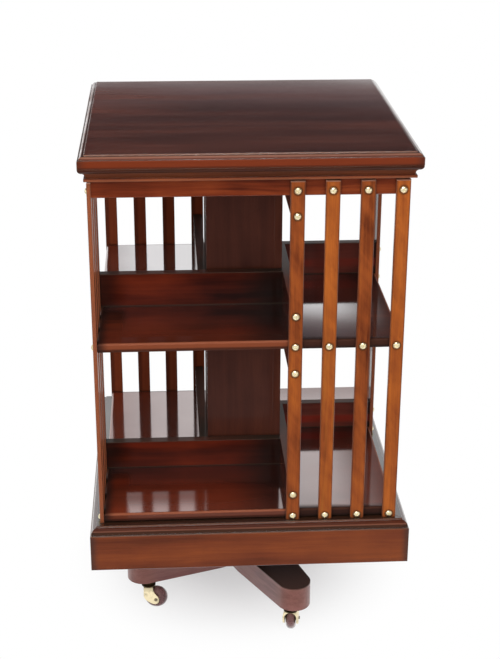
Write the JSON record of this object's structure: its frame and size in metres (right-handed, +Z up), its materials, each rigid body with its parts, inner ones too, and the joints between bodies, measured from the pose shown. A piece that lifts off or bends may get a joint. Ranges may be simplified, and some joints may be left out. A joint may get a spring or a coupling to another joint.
{
  "type": "revolving bookcase",
  "caption": "Square slatted two-tier revolving bookcase with moulded top and plinth, turning on a spindle in a low cross base on swivel castors.",
  "frame": {"origin": "on the floor, under the spindle's axis", "axes": "+Z up along the spindle, -Y is the pictured front of the case, +X to its right"},
  "size_m": [0.488, 0.488, 0.8295],
  "materials": {
    "mahogany": "French-polished",
    "dark_mahogany": "French-polished, darker",
    "wheel_wood": "turned and polished hardwood",
    "brass": "polished",
    "steel": "bright turned",
    "iron": "blackened"
  },
  "bodies": {
    "base": {"cross_rail_lower": "mahogany", "cross_rail_upper": "mahogany", "turned_hub": "mahogany", "spindle": "steel", "spindle_nut": "iron", "castor_plates": "brass", "castor_plate_screws": "brass"},
    "case": {"top_board": "mahogany", "cornice_strips": "mahogany", "frieze_rail_front": "mahogany", "frieze_rail_right": "mahogany", "frieze_rail_back": "mahogany", "frieze_rail_left": "mahogany", "post_board_front": "dark_mahogany", "post_board_right": "dark_mahogany", "post_board_back": "dark_mahogany", "post_board_left": "dark_mahogany", "middle_shelf": "dark_mahogany", "bottom_shelf": "dark_mahogany", "plinth_rail_front": "mahogany", "plinth_rail_right": "mahogany", "plinth_rail_back": "mahogany", "plinth_rail_left": "mahogany", "plinth_glue_blocks": "dark_mahogany", "upper_low_board_front": "dark_mahogany", "upper_low_board_right": "dark_mahogany", "upper_low_board_back": "dark_mahogany", "upper_low_board_left": "dark_mahogany", "upper_high_board_front": "dark_mahogany", "upper_high_board_right": "dark_mahogany", "upper_high_board_back": "dark_mahogany", "upper_high_board_left": "dark_mahogany", "lower_low_board_front": "dark_mahogany", "lower_low_board_right": "dark_mahogany", "lower_low_board_back": "dark_mahogany", "lower_low_board_left": "dark_mahogany", "lower_high_board_front": "dark_mahogany", "lower_high_board_right": "dark_mahogany", "lower_high_board_back": "dark_mahogany", "lower_high_board_left": "dark_mahogany", "slats_front": "mahogany", "slats_right": "mahogany", "slats_back": "mahogany", "slats_left": "mahogany", "slat_screws": "brass", "bearing_block": "dark_mahogany", "pivot_socket": "brass", "lower_collar": "iron"},
    "castor_front": {"castor_horn_front": "brass", "castor_axle_front": "steel"},
    "castor_front_wheel": {"castor_wheel_front": "wheel_wood"},
    "castor_right": {"castor_horn_right": "brass", "castor_axle_right": "steel"},
    "castor_right_wheel": {"castor_wheel_right": "wheel_wood"},
    "castor_back": {"castor_horn_back": "brass", "castor_axle_back": "steel"},
    "castor_back_wheel": {"castor_wheel_back": "wheel_wood"},
    "castor_left": {"castor_horn_left": "brass", "castor_axle_left": "steel"},
    "castor_left_wheel": {"castor_wheel_left": "wheel_wood"}
  },
  "joints": [
    {"name": "case_turn", "type": "hinge", "parent": "base", "child": "case", "pos_m": [0, 0, 0.5], "axis": [0, 0, 1], "continuous": true},
    {"name": "castor_front_swivel", "type": "hinge", "parent": "base", "child": "castor_front", "pos_m": [0.07159, -0.16078, 0.05], "axis": [0, 0, 1], "continuous": true},
    {"name": "castor_front_roll", "type": "hinge", "parent": "castor_front", "child": "castor_front_wheel", "pos_m": [0.07403, -0.14822, 0.019], "axis": [-0.9816, 0.1908, 0], "continuous": true},
    {"name": "castor_right_swivel", "type": "hinge", "parent": "base", "child": "castor_right", "pos_m": [0.16078, 0.07159, 0.05], "axis": [0, 0, 1], "continuous": true},
    {"name": "castor_right_roll", "type": "hinge", "parent": "castor_right", "child": "castor_right_wheel", "pos_m": [0.17127, 0.07893, 0.019], "axis": [-0.5736, 0.8192, 0], "continuous": true},
    {"name": "castor_back_swivel", "type": "hinge", "parent": "base", "child": "castor_back", "pos_m": [-0.07159, 0.16078, 0.05], "axis": [0, 0, 1], "continuous": true},
    {"name": "castor_back_roll", "type": "hinge", "parent": "castor_back", "child": "castor_back_wheel", "pos_m": [-0.07381, 0.17339, 0.019], "axis": [-0.9848, -0.1736, 0], "continuous": true},
    {"name": "castor_left_swivel", "type": "hinge", "parent": "base", "child": "castor_left", "pos_m": [-0.16078, -0.07159, 0.05], "axis": [0, 0, 1], "continuous": true},
    {"name": "castor_left_roll", "type": "hinge", "parent": "castor_left", "child": "castor_left_wheel", "pos_m": [-0.14803, -0.0727, 0.019], "axis": [0.0872, 0.9962, 0], "continuous": true}
  ]
}
